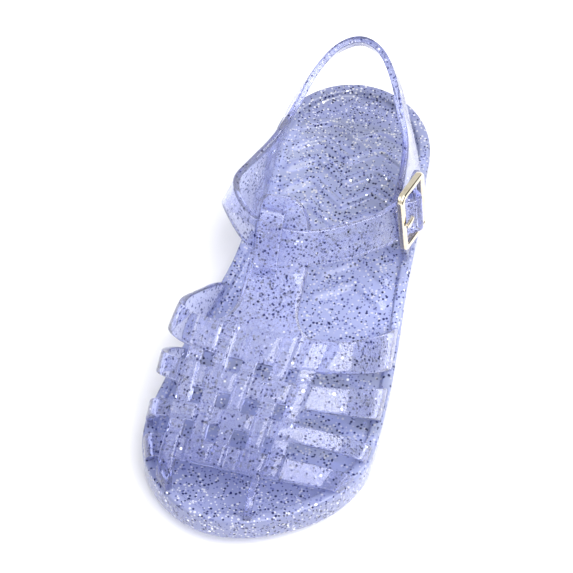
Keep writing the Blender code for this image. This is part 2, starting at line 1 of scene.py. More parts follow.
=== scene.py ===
# %% [markdown]
# # A child's jelly sandal, moulded from glittering PVC
#
# The real sandal is one moulding: soft, see-through PVC full of glitter flakes, with a small
# plated buckle put on afterwards. The frame that is loaded here already holds its solids. This
# lesson gives them rounded edges, a clear tinted plastic with flakes in it, and a polished buckle.

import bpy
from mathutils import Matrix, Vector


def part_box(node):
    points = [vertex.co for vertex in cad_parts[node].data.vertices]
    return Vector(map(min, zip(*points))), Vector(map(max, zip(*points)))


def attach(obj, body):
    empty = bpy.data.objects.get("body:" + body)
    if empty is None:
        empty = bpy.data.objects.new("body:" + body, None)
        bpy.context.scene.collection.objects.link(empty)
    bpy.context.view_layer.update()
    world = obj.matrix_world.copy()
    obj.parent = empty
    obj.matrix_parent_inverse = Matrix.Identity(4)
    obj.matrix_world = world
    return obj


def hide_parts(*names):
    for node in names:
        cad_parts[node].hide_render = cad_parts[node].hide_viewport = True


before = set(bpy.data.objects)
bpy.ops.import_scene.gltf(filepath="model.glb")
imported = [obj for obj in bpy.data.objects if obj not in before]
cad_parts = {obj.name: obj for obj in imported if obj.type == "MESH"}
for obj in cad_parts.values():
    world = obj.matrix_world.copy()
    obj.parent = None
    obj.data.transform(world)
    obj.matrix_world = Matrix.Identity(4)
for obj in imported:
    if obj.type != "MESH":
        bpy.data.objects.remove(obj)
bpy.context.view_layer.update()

import math

import bmesh
import bpy
import numpy as np
from mathutils import Matrix, Vector

MM = 0.001
print("nodes:", sorted(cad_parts))

# %% [markdown]
# ## Tables and curves
#
# A shoemaker describes a last by a few sections. The shapes below do the same: a short table has a
# row for each section, and a smooth curve runs through each column. Two kinds of curve are enough:
# one that never swings past its rows, for heights and widths, and a rounder one for paths in space.

# %% Tables and curves
def table(names, *rows):
    """Turn rows of numbers under a line of column names into named columns."""
    return dict(zip(names.split(), np.array(rows, dtype=float).T))


def hermite(values, tangents, cell, share, step):
    """Cubic between two rows that keeps the values and slopes at both of them."""
    return (
        values[cell] * (1 + 2 * share) * (1 - share) ** 2
        + values[cell + 1] * share ** 2 * (3 - 2 * share)
        + step * tangents[cell] * share * (1 - share) ** 2
        - step * tangents[cell + 1] * share ** 2 * (1 - share)
    )


def through(knots, values, at):
    """Curve that never overshoots: the slope at a row is the harmonic mean of its two neighbours."""
    steps = np.diff(knots)
    slopes = np.diff(values) / steps
    before, after = slopes[:-1], slopes[1:]
    same_way = before * after > 0
    total = np.where(same_way, before + after, 1.0)
    inner = np.where(same_way, 2.0 * before * after / total, 0.0)
    tangents = np.concatenate([slopes[:1], inner, slopes[-1:]])
    at = np.clip(at, knots[0], knots[-1])
    cell = np.clip(np.searchsorted(knots, at, side="right") - 1, 0, len(steps) - 1)
    return hermite(values, tangents, cell, (at - knots[cell]) / steps[cell], steps[cell])


def rounded(values, at):
    """Rounder curve through rows one step apart: the slope at a row is that between its neighbours."""
    cell = np.clip(np.floor(at).astype(int), 0, len(values) - 2)
    return hermite(values, np.gradient(values), cell, at - cell, 1.0)


print("curves ready:", through(np.array([0.0, 1.0, 2.0]), np.array([0.0, 1.0, 1.0]), np.array([0.5])))

# %% [markdown]
# ## The outline of the sole
#
# Along is measured from the back of the heel to the toe, in millimetres. The sole curves in on the
# big-toe side, so its centre line moves over from heel to toe. Both ends close as half ellipses.
# The heel is higher than the ball of the foot, the arch is lifted and the toe springs up.

# %% Outline and heights of the sole
SOLE_LENGTH = 158.0
HEEL_ROUND = 24.0
TOE_ROUND = 34.0
SOLE = table(
    "along centre half_width footbed underside",
    (0, 2.0, 23.0, 15.2, 0.7),
    (6, 2.1, 23.2, 15.2, 0.0),
    (25, 2.5, 23.7, 15.0, 0.0),
    (50, 4.2, 24.6, 13.6, 0.0),
    (68, 4.2, 25.6, 11.8, 4.0),
    (88, 3.4, 28.4, 9.6, 0.0),
    (107, 2.1, 31.1, 8.5, 0.0),
    (125, 0.9, 32.2, 8.2, 0.0),
    (140, -0.9, 31.7, 9.2, 1.0),
    (158, -3.6, 28.6, 11.5, 4.6),
)
RIM_HEIGHT = 1.6
RIM_OUTER_INSET = 0.5
RIM_INNER_INSET = 2.9
FOOTBED_INSET = 3.9
FOOTBED_CUP = 0.6


def sole_value(name, along):
    """One column of the sole table, read as a curve along the foot."""
    return through(SOLE["along"], SOLE[name], along)


def sole_edge(along, side, inset):
    """Point of the outline moved inwards: centre plus side times half width, closed by two ellipses."""
    heel = np.clip(1.0 - along / HEEL_ROUND, 0.0, 1.0)
    toe = np.clip(1.0 - (SOLE_LENGTH - along) / TOE_ROUND, 0.0, 1.0)
    opened = np.sqrt(1.0 - heel ** 2) * np.sqrt(1.0 - toe ** 2)
    across = sole_value("centre", along) + side * (sole_value("half_width", along) - inset) * opened
    moved = inset + along * (1.0 - 2.0 * inset / SOLE_LENGTH)
    return across, moved


def rim_top(along):
    """Height of the raised rim: the footbed, its cupped edge and the lip on top of it."""
    return sole_value("footbed", along) + FOOTBED_CUP + RIM_HEIGHT


def seat_height(along):
    """Height of the rim's higher edge at a place, where the straps grow out of the sole."""
    insets = (RIM_OUTER_INSET, RIM_INNER_INSET)
    outer, inner = [rim_top((along - inset) / (1.0 - 2.0 * inset / SOLE_LENGTH)) for inset in insets]
    return np.maximum(outer, inner)


print("rim at heel, ball and toe:", rim_top(np.array([10.0, 107.0, 150.0])).round(1), "mm")

# %% [markdown]
# ## From millimetres to the frame
#
# The tables have their zero at the heel, but the frame stands on the middle of its own box. The
# frame says where the sole is, so one shift brings every shape of the tables to its place.

# %% Place points in the frame
OUTLINE_SAMPLES = 400
MERGE_MM = 0.0001
outline_along = np.linspace(0.0, SOLE_LENGTH, OUTLINE_SAMPLES)
outline_low = sole_edge(outline_along, -1.0, 0.0)[0].min()
outline_high = sole_edge(outline_along, 1.0, 0.0)[0].max()
cad_low, cad_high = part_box("sole")
SHIFT_ACROSS = (cad_low.x + cad_high.x) / 2 / MM - (outline_low + outline_high) / 2
SHIFT_ALONG = (cad_low.y + cad_high.y) / 2 / MM + SOLE_LENGTH / 2


def place(points):
    """Turn (across, along, up) in millimetres into metres in the frame, with the toe at -Y."""
    across, along, up = np.moveaxis(points, -1, 0)
    return np.stack([across + SHIFT_ACROSS, SHIFT_ALONG - along, up], axis=-1) * MM


def new_piece(name, points, faces):
    """Make a mesh object at the origin from points in millimetres and a list of faces."""
    mesh = bpy.data.meshes.new(name)
    mesh.from_pydata(place(points.reshape(-1, 3)), [], faces)
    mesh.validate()
    piece = bpy.data.objects.new(name, mesh)
    bpy.context.scene.collection.objects.link(piece)
    return piece


def close_up(piece, merge_mm):
    """Merge doubled points and turn all faces outwards with a bmesh."""
    work = bmesh.new()
    work.from_mesh(piece.data)
    bmesh.ops.remove_doubles(work, verts=work.verts, dist=merge_mm * MM)
    bmesh.ops.recalc_face_normals(work, faces=work.faces)
    open_edges = sum(not edge.is_manifold for edge in work.edges)
    work.to_mesh(piece.data)
    work.free()
    return open_edges


print("shift to the frame:", round(SHIFT_ACROSS, 2), round(SHIFT_ALONG, 2), "mm")

# %% [markdown]
# ## Tread and footbed ribs
#
# Both faces of the sole carry the same zigzag: grooves below that grip the floor, and low ribs above
# that stop the foot from sliding. A zigzag is a straight rib whose place along the foot is moved back
# and forth with the place across it, so one function gives the distance to the nearest rib for a
# whole grid of points at once.

# %% Tread and footbed ribs
TREAD_PITCH = 8.4
TREAD_FIRST = 14.0
TREAD_COUNT = 15
GROOVE_HALF = 1.2
GROOVE_WALL = 0.6
GROOVE_DEPTH = 1.3
RIB_HALF = 1.5
RIB_WALL = 1.0
RIB_HEIGHT = 1.1
ARCH_SPAN = (52.0, 86.0)
RIB_SPAN = (10.0, 80.0)
RIB_FADE_END = 0.94
RIB_FADE = 0.12
ZIGZAG = table("across shift", (-0.86, 2.0), (-0.46, -3.4), (0.0, 3.4), (0.46, -3.4), (0.86, 2.0))


def nearest_rib(along, across):
    """Distance to the nearest rib and the place of its middle, with the zigzag's shift taken off."""
    calm = np.clip(np.minimum(along, SOLE_LENGTH - along) / HEEL_ROUND, 0.0, 1.0)
    stretch = 1.0 - 2.0 * FOOTBED_INSET / SOLE_LENGTH
    straight = along - np.interp(across, ZIGZAG["across"], ZIGZAG["shift"]) * calm / stretch
    index = np.clip(np.round((straight - TREAD_FIRST) / TREAD_PITCH), 0, TREAD_COUNT - 1)
    middle = TREAD_FIRST + TREAD_PITCH * index
    return np.abs(straight - middle), middle


def groove_depth(along, across):
    """Trapezoid groove: full depth in the middle, with steep walls, and none under the arch."""
    away, middle = nearest_rib(along, across)
    in_arch = (middle > ARCH_SPAN[0]) & (middle < ARCH_SPAN[1])
    wall = np.clip((GROOVE_HALF + GROOVE_WALL - away) / GROOVE_WALL, 0.0, 1.0)
    return np.where(in_arch, 0.0, GROOVE_DEPTH * wall)


def rib_rise(along, across):
    """Flat-topped rib with walls of half a cosine wave, fading out towards the rim."""
    away, middle = nearest_rib(along, across)
    on_heel = (middle > RIB_SPAN[0]) & (middle < RIB_SPAN[1])
    wave = 0.5 + 0.5 * np.cos(np.pi * np.clip((away - RIB_HALF) / RIB_WALL + 0.5, 0.0, 1.0))
    fade = np.clip((RIB_FADE_END - np.abs(across)) / RIB_FADE, 0.0, 1.0)
    return np.where(on_heel, RIB_HEIGHT * wave * fade, 0.0)


print("ribs every", TREAD_PITCH, "mm, grooves", GROOVE_DEPTH, "mm deep")

# %% [markdown]
# ## The sole
#
# The sole is one closed skin. Its first parameter runs from heel to toe, with the steps close
# together at both ends where the outline turns. Its second runs once round the section: along the
# tread, up the side, over the rounded rim, across the footbed and down the other side. The side is a
# short table, so the rounding of its edges can be read row by row.

# %% The sole as one skin
SOLE_STATIONS = 421
SOLE_MERGE_MM = 0.002
TREAD_COLUMNS = 65
SIDE = table(
    "inset level raise",
    (1.8, 0, 0.0),
    (1.1, 0, 0.1),
    (0.5, 0, 0.5),
    (0.15, 0, 1.1),
    (0.0, 0, 2.0),
    (0.0, 0.5, 0.0),
    (0.0, 1, -1.3),
    (0.12, 1, -0.6),
    (0.4, 1, -0.18),
    (0.85, 1, 0.0),
    (2.4, 1, 0.0),
    (2.85, 1, -0.18),
    (3.15, 1, -0.6),
    (3.35, 1, -1.1),
    (3.6, 1, -1.45),
)


def sole_skin():
    """Grid of points: rows are stations along the foot, columns run once round the section."""
    turn = np.linspace(0.0, np.pi, SOLE_STATIONS)[:, None]
    along = SOLE_LENGTH * (1.0 - np.cos(turn)) / 2
    across = np.linspace(-1.0, 1.0, TREAD_COLUMNS)[None, :]
    flat_across, flat_along = np.broadcast_arrays(*sole_edge(along, across, FOOTBED_INSET))
    cup = FOOTBED_CUP * across ** 2
    over = sole_value("footbed", flat_along) + cup + rib_rise(along, across)
    under = sole_value("underside", flat_along) + groove_depth(along, across)

    low, high = sole_value("underside", along), rim_top(along)
    level, raised = SIDE["level"][None, :], SIDE["raise"][None, :]
    side_up = low + (high - low) * level + raised
    sides = []
    for side in (1.0, -1.0):
        side_up_cut = np.maximum(side_up, low + groove_depth(along, np.array([[side]])))
        side_across, side_along = sole_edge(along, side, SIDE["inset"][None, :])
        sides.append(np.stack([side_across, side_along, side_up_cut], axis=-1))
    tread = np.stack([flat_across, flat_along, under], axis=-1)
    footbed = np.stack([flat_across, flat_along, over], axis=-1)[:, ::-1]
    return np.concatenate([tread, sides[0], footbed, sides[1][:, ::-1]], axis=1)


def skin_faces(rows, columns):
    """Quads of a skin whose columns run round in a ring."""
    number = np.arange(rows * columns).reshape(rows, columns)
    turned = np.roll(number, -1, axis=1)
    return np.stack([number[:-1], turned[:-1], turned[1:], number[1:]], axis=-1).reshape(-1, 4)


skin = sole_skin()
sole = new_piece("sole_skin", skin, skin_faces(*skin.shape[:2]).tolist())
print("sole:", len(sole.data.polygons), "faces, open edges:", close_up(sole, SOLE_MERGE_MM))

# %% [markdown]
# ## The last under the vamp
#
# The straps of the vamp lie on a last, the wooden foot a shoe is made on. Each section of it is a
# superellipse between the two seats on the rim. The ridge stands on the big-toe side, as on a foot.
# Turn runs from 0 at the inner seat to 1 at the outer seat. To find the turn that passes a given
# place across, the interval is halved again and again, for all points together.

# %% Sections of the last
SEAT_INSET = 1.7
SECTION_POWER = 2.4
TURN_LIMITS = (0.12, 0.98)
HALVINGS = 32
VAMP = table(
    "along height ridge bulge_medial bulge_lateral",
    (70, 50.0, -9.5, 3.0, 0.0),
    (77.5, 38.3, -9.5, 3.0, 0.0),
    (80.0, 34.6, -9.5, 3.0, 0.0),
    (85.6, 26.8, -9.5, 3.0, 0.0),
    (90, 23.8, -9.5, 3.6, 0.0),
    (95, 22.3, -9.5, 4.4, 0.0),
    (100, 21.2, -9.5, 4.5, 0.0),
    (110, 19.7, -9.5, 3.0, 0.2),
    (120, 17.3, -9.0, 1.3, 0.2),
    (130, 13.8, -8.5, -0.6, 0.2),
    (138, 9.8, -8.0, -0.6, 0.2),
    (146, 5.8, -7.0, -0.4, 0.0),
)


def vamp_value(name, along):
    """One column of the vamp table, read as a curve along the foot."""
    return through(VAMP["along"], VAMP[name], along)


def vamp_section(along, turn):
    """Superellipse between the seats: its ridge is moved over with the square of its rise."""
    left = sole_edge(along, -1.0, SEAT_INSET)[0]
    right = sole_edge(along, 1.0, SEAT_INSET)[0]
    angle = np.pi * np.clip(turn, 0.0, 1.0)
    out = -np.sign(np.cos(angle)) * np.abs(np.cos(angle)) ** (2.0 / SECTION_POWER)
    rise = np.abs(np.sin(angle)) ** (2.0 / SECTION_POWER)
    swell = np.sin(2 * angle)
    across = (left + right) / 2 + (right - left) / 2 * out + vamp_value("ridge", along) * rise ** 2
    across = across - vamp_value("bulge_medial", along) * np.maximum(swell, 0.0)
    across = across + vamp_value("bulge_lateral", along) * np.maximum(-swell, 0.0)
    return across, seat_height(along) + vamp_value("height", along) * rise


def turn_at(along, across):
    """The turn at which a section passes a place across, by halving the interval."""
    low = np.full(np.broadcast(along, across).shape, TURN_LIMITS[0])
    high = np.full(low.shape, TURN_LIMITS[1])
    for _ in range(HALVINGS):
        middle = (low + high) / 2
        beyond = vamp_section(along, middle)[0] > across
        high = np.where(beyond, middle, high)
        low = np.where(beyond, low, middle)
    return (low + high) / 2


print("ridge of the vamp at the ball:", vamp_section(np.array([110.0]), np.array([0.42])))

# %% [markdown]
# ## The woven cage
#
# Four strips run across the foot and five along it, over and under each other. In the mould this is
# one wall with the upper strip raised at each crossing and square holes between. So the cage is one
# grid. Every strip gives it five lines: its two edges, one just inside each, and its middle. Every
# gap gives it two more, close to the strips. Where gaps cross, the cells are left out. The extra
# lines hold the shape when the grid is subdivided: strips stay flat, holes stay square, and only a
# narrow edge becomes round, as it comes out of a mould.

# %% Lines of the weave
WALL = 2.2
CROSS_STRIPS = table(
    "upper lower upper_lateral lower_lateral upper_medial lower_medial",
    (106.0, 115.3, 24.0, 19.0, 27.0, 23.0),
    (119.0, 125.2, 17.0, 11.5, 16.0, 13.0),
    (129.3, 134.0, 7.0, 6.0, 5.0, 3.0),
    (138.2, 144.6, 5.0, 5.0, 2.0, 2.0),
)
LONG_STRIPS = table(
    "back front width",
    (-19.7, -19.9, 4.3),
    (-12.0, -13.4, 4.2),
    (-3.4, -6.8, 4.0),
    (5.0, 1.8, 4.5),
    (12.4, 8.4, 4.3),
)
STRIP_WAYS = np.array([0.0, 0.09, 0.5, 0.91, 1.0])
GAP_WAYS = np.array([0.14, 0.86])
SIDE_CELLS = 9
WEAVE_RELIEF = 1.0
ROOT_DEPTH = 1.6
AXIS_PLACE = 4.05
SWEEP_ROUNDS = 4


def line_places(strips):
    """Places of the grid's lines: strip number n covers 2n to 2n + 1, and the gap after it the rest."""
    start = 2.0 * np.arange(strips)[:, None]
    return np.concatenate([start + STRIP_WAYS, start + 1.0 + GAP_WAYS], axis=1).ravel()[:-len(GAP_WAYS)]


def read_lines(first_edge, second_edge, places):
    """Read values that are known at both edges of every strip, straight in between."""
    edges = np.stack([first_edge, second_edge], axis=-1).ravel()
    return np.interp(places, np.arange(len(edges)), edges)


def on_strip(places):
    """True where a place lies inside a strip and not in a gap or on an edge."""
    return (np.floor(places) % 2 == 0) & (places % 1.0 > 0.0)


CROSS_PLACES = line_places(len(CROSS_STRIPS["upper"]))
LONG_PLACES = line_places(len(LONG_STRIPS["width"]))
FIRST_LINE = SIDE_CELLS + 1
COLUMNS = len(LONG_PLACES) + 2 * FIRST_LINE


def sweep_back(turn, axis, medial, lateral):
    """How far a cross strip has swept back at a turn: the square of its way to either seat."""
    to_lateral = np.clip((turn - axis) / (1.0 - axis), 0.0, 1.0)
    to_medial = np.clip((axis - turn) / axis, 0.0, 1.0)
    return lateral * to_lateral ** 2 + medial * to_medial ** 2


def weave_grid():
    """Grid of the weave: rows are lines of the cross strips, columns run from seat to seat."""
    cross = CROSS_STRIPS
    middle = read_lines(cross["upper"], cross["lower"], CROSS_PLACES)[:, None]
    medial = read_lines(cross["upper_medial"], cross["lower_medial"], CROSS_PLACES)[:, None]
    lateral = read_lines(cross["upper_lateral"], cross["lower_lateral"], CROSS_PLACES)[:, None]
    half = LONG_STRIPS["width"] / 2
    back = read_lines(LONG_STRIPS["back"] - half, LONG_STRIPS["back"] + half, LONG_PLACES)[None, :]
    front = read_lines(LONG_STRIPS["front"] - half, LONG_STRIPS["front"] + half, LONG_PLACES)[None, :]
    share = (middle - middle[0]) / (middle[-1] - middle[0])
    across = back + (front - back) * share
    along = np.broadcast_to(middle, across.shape)
    centre = np.searchsorted(LONG_PLACES, AXIS_PLACE)
    for _ in range(SWEEP_ROUNDS):
        turn = turn_at(along, across)
        axis = turn[:, centre][:, None]
        along = middle - sweep_back(turn, axis, medial, lateral)
    side = np.arange(SIDE_CELLS)[None, :] / SIDE_CELLS
    to_medial, to_lateral = side * turn[:, :1], 1.0 - side[:, ::-1] * (1.0 - turn[:, -1:])
    turn = np.concatenate([to_medial, turn, to_lateral], axis=1)
    along = middle - sweep_back(turn, axis, medial, lateral)
    across, up = vamp_section(along, turn)
    points = np.stack([across, along, up], axis=-1)
    root = np.array([0.0, 0.0, -ROOT_DEPTH])
    return np.concatenate([points[:, :1] + root, points, points[:, -1:] + root], axis=1)


weave = weave_grid()
print("weave grid:", weave.shape[0], "by", weave.shape[1], "points")

# %% [markdown]
# ## T-bar and toe bars
#
# A T-bar runs up the instep from the first cross strip. It starts wide, narrows in two hollow curves
# and ends in a round tab behind the ankle strap. At the toe, two short bars carry on to the rim as
# quarter ellipses. Both are more rows of the same grid, so they grow out of the weave without a seam.

# %% T-bar rows and toe bar rows
BAR_FLARE = 10.0
BAR_FLARE_WAYS = np.array([1.0, 0.7, 0.42, 0.22, 0.1, 0.03])
BAR = table(
    "along centre half_width",
    (75.8, -5.3, 3.4),
    (76.2, -5.2, 5.2),
    (77.0, -4.9, 6.4),
    (78.3, -4.5, 7.2),
    (80.2, -3.9, 7.8),
    (83.0, -3.6, 8.0),
    (86.0, -3.6, 8.0),
    (90.0, -3.6, 8.0),
)
BAR_EDGE = 0.94
BAR_PLACES = (1.0, 8.0)
TOE_ROWS = 5
TOE_PROBES = 69
TOE_LEAST = 1.0
TOE_BARS = ((0.0, 1.0), (7.0, 8.0))
BAR_FROM, BAR_TO = FIRST_LINE + np.searchsorted(LONG_PLACES, BAR_PLACES)


def bar_grid(root):
    """Rows of the T-bar on the last: a rounded tab, a straight stretch and a flared root."""
    inner = np.linspace(-BAR_EDGE, BAR_EDGE, len(root) - 2)
    spread = np.concatenate([[-1.0], inner, [1.0]])[None, :]
    tab_across = BAR["centre"][:, None] + BAR["half_width"][:, None] * spread
    tab_along = np.broadcast_to(BAR["along"][:, None], tab_across.shape)
    way = BAR_FLARE_WAYS[:, None]
    flare = 1.0 - np.sqrt(1.0 - (1.0 - way) ** 2)
    narrow = tab_across[-1:]
    flare_across = narrow + (root[None, :, 0] - narrow) * flare
    start = CROSS_STRIPS["upper"][0]
    flare_along = start - BAR_FLARE * way + (root[None, :, 1] - start) * (1.0 - way)
    across = np.concatenate([tab_across, flare_across])
    along = np.concatenate([tab_along, flare_along])
    up = vamp_section(along, turn_at(along, across))[1]
    return np.stack([across, along, up], axis=-1)


def toe_grid(last_row):
    """Rows from the last strip to the rim at the toe: quarter ellipses, and a root in the rim."""
    across = last_row[:, 0]
    probe = np.linspace(SOLE_LENGTH - TOE_ROUND, SOLE_LENGTH, TOE_PROBES)
    left, left_along = sole_edge(probe, -1.0, SEAT_INSET)
    right, right_along = sole_edge(probe, 1.0, SEAT_INSET)
    end = np.minimum(np.interp(across, left, left_along), np.interp(-across, -right, right_along))
    end = np.maximum(end, last_row[:, 1] + TOE_LEAST)
    seat = seat_height(end)
    way = np.sin(np.linspace(0.0, np.pi / 2, TOE_ROWS + 1))[1:, None]
    along = last_row[:, 1] + (end - last_row[:, 1]) * way
    up = seat + (last_row[:, 2] - seat) * np.sqrt(1.0 - way ** 2)
    rows = np.stack([np.broadcast_to(across, along.shape), along, up], axis=-1)
    return np.concatenate([rows, rows[-1:] - np.array([0.0, 0.0, ROOT_DEPTH])])


def cage_grid():
    """The whole cage: its points, how far its outside is lifted, and the cells that are kept."""
    last_place = LONG_PLACES[-1]
    places = np.pad(LONG_PLACES, FIRST_LINE, constant_values=(-0.5, last_place + 0.5))
    cells = (places[:-1] + places[1:]) / 2
    rows = CROSS_PLACES[:, None]
    long_over = (rows // 2 + places // 2) % 2 == 1
    crossing = (places >= 0.0) & (places <= last_place)
    raised = crossing & np.where(long_over, on_strip(places), on_strip(rows))
    weave_keep = on_strip((rows[:-1] + rows[1:]) / 2) | on_strip(cells)

    toe = toe_grid(weave[-1])
    on_toe_bar = np.any([(cells > first) & (cells < last) for first, last in TOE_BARS], axis=0)
    toe_keep = np.repeat(on_toe_bar[None, :], len(toe), axis=0)

    lines = bar_grid(weave[0, BAR_FROM:BAR_TO + 1])
    bar = np.repeat(weave[:1], len(lines), axis=0)
    bar[:, :, 1] -= BAR_FLARE * np.arange(len(lines), 0, -1)[:, None]
    bar[:, BAR_FROM:BAR_TO + 1] = lines
    bar_keep = np.zeros((len(lines), COLUMNS - 1), dtype=bool)
    bar_keep[:, BAR_FROM:BAR_TO] = True

    points = np.concatenate([bar, weave, toe])
    lift = np.full(points.shape[:2], WALL / 2)
    lift[len(bar):len(bar) + len(weave)] += np.where(raised, WEAVE_RELIEF, 0.0)
    return points, lift, np.concatenate([bar_keep, weave_keep, toe_keep])


cage_points, cage_lift, cage_keep = cage_grid()
print("cage cells kept:", int(cage_keep.sum()))

# %% [markdown]
# ## A wall from a grid
#
# A grid of middle points becomes a wall of real thickness: the outer points are moved out along the
# grid's normals, the inner points in, and a strip of faces closes the wall wherever a kept cell has
# no kept neighbour. The wall is then subdivided twice, which rounds its edges.

# %% Walls from grids
SUBDIVISIONS = 2


def wall_faces(keep):
    """Quads of a wall: kept cells outside, the same turned over inside, and rims where they end."""
    number = np.arange((keep.shape[0] + 1) * (keep.shape[1] + 1)).reshape(keep.shape[0] + 1, -1)
    a, b, c, d = number[:-1, :-1], number[:-1, 1:], number[1:, 1:], number[1:, :-1]
    outside = np.stack([a, b, c, d], axis=-1)[keep]
    around = np.pad(keep, 1)
    beyond = (around[:-2, 1:-1], around[1:-1, 2:], around[2:, 1:-1], around[1:-1, :-2])
    faces = [outside, outside[:, ::-1] + number.size]
    for first, second, neighbour in zip((a, b, c, d), (b, c, d, a), beyond):
        edge = keep & ~neighbour
        rim = [second[edge], first[edge], first[edge] + number.size, second[edge] + number.size]
        faces.append(np.stack(rim, axis=-1))
    return np.concatenate(faces)


def wall_points(middle, lift, sink):
    """Outer points, then inner points: middle points moved along the unit normals of the grid."""
    normals = np.cross(np.gradient(middle, axis=1), np.gradient(middle, axis=0))
    normals = normals / np.linalg.norm(normals, axis=-1, keepdims=True)
    outer = middle + normals * lift[..., None]
    inner = middle - normals * sink[..., None]
    return np.concatenate([outer.reshape(-1, 3), inner.reshape(-1, 3)])


def apply_modifiers(piece):
    """Bake a piece's modifiers into its mesh."""
    baked = bpy.data.meshes.new_from_object(piece.evaluated_get(bpy.context.evaluated_depsgraph_get()))
    piece.modifiers.clear()
    piece.data = baked


def wall_piece(name, middle, lift, sink, keep):
    """A wall on a grid, closed, turned outwards and subdivided."""
    points = wall_points(middle, lift, sink)
    faces = wall_faces(keep)
    used, number = np.unique(faces, return_inverse=True)
    piece = new_piece(name, points[used], number.reshape(faces.shape).tolist())
    open_edges = close_up(piece, MERGE_MM)
    smooth = piece.modifiers.new("round the edges", "SUBSURF")
    smooth.levels = SUBDIVISIONS
    smooth.render_levels = SUBDIVISIONS
    apply_modifiers(piece)
    print(name, "has", len(piece.data.polygons), "faces, open edges:", open_edges)
    return piece


cage = wall_piece("cage", cage_points, cage_lift, np.full(cage_lift.shape, WALL / 2), cage_keep)

# %% [markdown]
# ## Ankle strap, quarters and heel sling
#
# One band runs round the foot: from the strap's tail at the buckle, over the instep, down the inner
# quarter to the sole, round the heel as a thin sling and into the outer quarter. Its table gives the
# top and the low edge at each place. Where a row is seated, the low edge goes down into the rim.

# %% The band
BAND_WALL = 2.0
BAND = table(
    "top_x top_along top_z low_x low_along low_z seated",
    (26.4, 45.0, 38.6, 28.2, 48.4, 27.6, 0),
    (25.4, 56.6, 41.0, 26.8, 60.0, 30.4, 0),
    (21.8, 64.0, 42.2, 24.2, 67.4, 31.9, 0),
    (17.4, 68.8, 43.0, 20.2, 72.4, 33.2, 0),
    (5.4, 79.0, 46.2, 5.8, 84.4, 37.4, 0),
    (-7.6, 82.0, 48.6, -8.1, 87.0, 40.2, 0),
    (-16.6, 75.8, 47.4, -20.2, 76.2, 39.2, 0),
    (-21.6, 64.8, 43.6, -25.0, 66.6, 34.0, 0),
    (-19.8, 55.4, 41.4, -19.0, 59.0, 15.2, 1),
    (-16.0, 46.4, 41.0, -18.8, 46.0, 16.3, 1),
    (-13.8, 38.4, 41.0, -19.2, 36.0, 17.0, 1),
    (-12.0, 30.4, 41.2, -15.4, 28.6, 34.0, 0),
    (-9.8, 18.6, 42.2, -11.4, 17.4, 38.0, 0),
    (-5.6, 8.4, 42.6, -6.2, 6.4, 38.4, 0),
    (0.4, 4.4, 42.8, 0.4, 2.2, 38.6, 0),
    (6.9, 7.6, 42.6, 7.5, 5.8, 38.4, 0),
    (12.4, 16.0, 41.6, 14.0, 15.0, 37.4, 0),
    (16.9, 26.6, 40.2, 19.5, 25.6, 33.4, 0),
    (20.6, 35.4, 38.6, 25.4, 34.0, 17.1, 1),
    (22.2, 46.0, 36.8, 26.6, 47.0, 16.3, 1),
    (22.2, 56.5, 35.0, 27.4, 60.5, 15.3, 1),
)
BAND_CELLS = 3
BAND_WAYS = np.array([0.0, 0.06, 0.25, 0.5, 0.75, 0.94, 1.0])


def band_grid(at, ways):
    """Curves through the top and low edges of the band, with straight lines between the two."""
    knots = np.arange(len(BAND["seated"]))
    top = np.stack([rounded(BAND[name], at) for name in ("top_x", "top_along", "top_z")], axis=-1)
    low = [through(knots, BAND[name], at) for name in ("low_x", "low_along", "low_z")]
    low = np.stack(low, axis=-1)
    seated = np.interp(at, knots, BAND["seated"]) == 1.0
    across, along = sole_edge(low[:, 1], np.sign(low[:, 0]), SEAT_INSET)
    rim = np.stack([across, along, seat_height(along) - ROOT_DEPTH], axis=-1)
    low = np.where(seated[:, None], rim, low)
    return top[:, None] + (low - top)[:, None] * ways[None, :, None]


band_at = np.linspace(0, len(BAND["seated"]) - 1, BAND_CELLS * (len(BAND["seated"]) - 1) + 1)
print("the band has", len(BAND["seated"]), "rows")

# %% [markdown]
# ## The bulge in the buckle
#
# The buckle lies on the outside of the strap, in the plane that the band's own table gives. Inside
# its frame the strap comes up over the bar that the prong turns on, so it bulges outwards. The bulge
# is a smooth wave that moves the middle of the wall, and it needs more lines than the rest of the band.

# %% The buckle's place on the strap
BUCKLE_ROW = 1
BUCKLE_RAISE = 0.5
spots = band_grid(BUCKLE_ROW + np.array([-1.0, 0.0, 1.0]), np.array([0.0, 0.5, 1.0]))
buckle_along = spots[2, 1] - spots[0, 1]
buckle_along /= np.linalg.norm(buckle_along)
buckle_down = spots[1, 2] - spots[1, 0]
buckle_down -= buckle_along * (buckle_down @ buckle_along)
buckle_down /= np.linalg.norm(buckle_down)
buckle_centre = spots[1, 1] - buckle_down * BUCKLE_RAISE
buckle_out = np.cross(buckle_along, buckle_down)
buckle_out *= np.sign(buckle_out[0])
print("buckle at", buckle_centre.round(1), "mm, facing", buckle_out.round(2))

# %% The bulge
BULGE_HEIGHT = 4.2
BULGE_HALF_LENGTH = 4.9
BULGE_CENTRE = -0.5
BULGE_LINES = np.linspace(0.5, 1.6, 17)
STRAP_ROWS = 3
END_LINE = 0.07
end_lines = [END_LINE, band_at[-1] - END_LINE]
band_at = np.unique(np.concatenate([band_at, BULGE_LINES, end_lines]))
band_points = band_grid(band_at, BAND_WAYS)
bulge_way = ((band_points - buckle_centre) @ buckle_along - BULGE_CENTRE) / BULGE_HALF_LENGTH
bulge = BULGE_HEIGHT * np.cos(np.clip(bulge_way, -1.0, 1.0) * np.pi / 2) ** 2
bulge[band_at > STRAP_ROWS] = 0.0
band_points = band_points + bulge[..., None] * buckle_out
band_half = np.full(band_points.shape[:2], BAND_WALL / 2)
band_keep = np.ones((band_points.shape[0] - 1, band_points.shape[1] - 1), dtype=bool)
band = wall_piece("band", band_points, band_half, band_half, band_keep)

